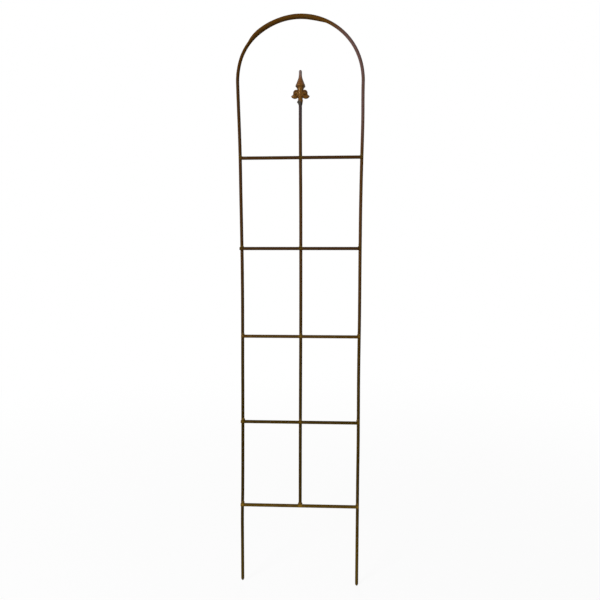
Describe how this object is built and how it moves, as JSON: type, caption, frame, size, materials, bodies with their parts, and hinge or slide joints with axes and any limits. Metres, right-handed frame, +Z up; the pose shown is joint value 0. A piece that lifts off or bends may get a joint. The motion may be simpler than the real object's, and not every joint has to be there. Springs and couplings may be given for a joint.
{
  "type": "garden trellis",
  "caption": "Flat arched garden trellis of rusty round steel bar: a lapped hoop that ends in ground stakes, welded rungs, and a centre bar with a cast fleur-de-lis finial.",
  "frame": {"origin": "on the soil line, midway between the two stakes, in the plane where the uprights stand", "axes": "+Z up, +X to the viewer's right in the picture, -Y toward the viewer, so the rungs are on the -Y side"},
  "size_m": [0.3484, 0.0264, 1.6],
  "materials": {
    "rusted_bar": "bare bar with an even dark brown rust, matt to satin",
    "golden_casting": "golden-brown, slightly glossy",
    "bare_weld": "grey scale, lumpy",
    "rust_gold_weld": "olive-gold scale, lumpy"
  },
  "bodies": {
    "root": {"left_hoop_bar": "rusted_bar", "right_hoop_bar": "rusted_bar", "centre_bar": "rusted_bar", "bottom_rung": "rusted_bar", "lower_rung": "rusted_bar", "middle_rung": "rusted_bar", "upper_rung": "rusted_bar", "top_rung": "rusted_bar", "finial": "golden_casting", "finial_weld": "bare_weld", "left_weld_beads": "rust_gold_weld", "centre_weld_beads": "rust_gold_weld", "right_weld_beads": "rust_gold_weld", "crown_weld_beads": "rust_gold_weld"}
  },
  "joints": []
}
